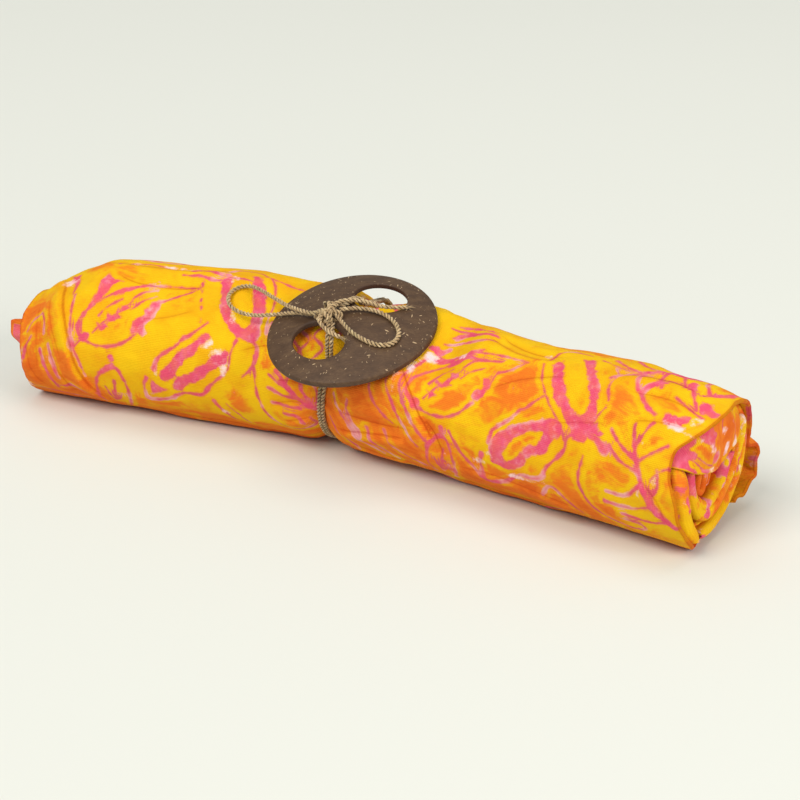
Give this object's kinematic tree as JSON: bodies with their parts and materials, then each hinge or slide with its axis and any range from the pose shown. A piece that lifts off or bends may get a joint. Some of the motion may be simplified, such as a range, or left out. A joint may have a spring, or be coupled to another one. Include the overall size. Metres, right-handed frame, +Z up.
{
  "type": "rolled sarong tied with twine through a coconut shell buckle",
  "caption": "Batik sarong, folded, rolled up and tied round its middle with twine through a flat coconut shell buckle.",
  "frame": {"origin": "the middle, in plan, of the box round the roll and its buckle, on the plane that the roll rests on", "axes": "+X along the roll, to the end that shows its layers; +Y to its back, away from the buckle's lower edge; +Z up"},
  "size_m": [0.3959, 0.1014, 0.0839],
  "materials": {
    "batik_cloth": "light rayon in a fine twill with a soft sheen: golden yellow with orange clouds and a pink and white batik of leaves and flowers",
    "coconut_shell": "sanded coconut shell, satin, grey-brown with short tan flecks and pores",
    "twine": "two-ply plant-fibre twine, straw coloured, matt, with loose fibres"
  },
  "bodies": {
    "root": {"outer_turn": "batik_cloth", "inner_turns": "batik_cloth", "tucked_corner": "batik_cloth", "coconut_buckle": "coconut_shell", "twine_run_left": "twine", "twine_run_right": "twine", "twine_knot": "twine", "bow_loop_left": "twine", "bow_loop_right": "twine", "twine_end_long": "twine", "twine_end_short": "twine"}
  },
  "joints": []
}
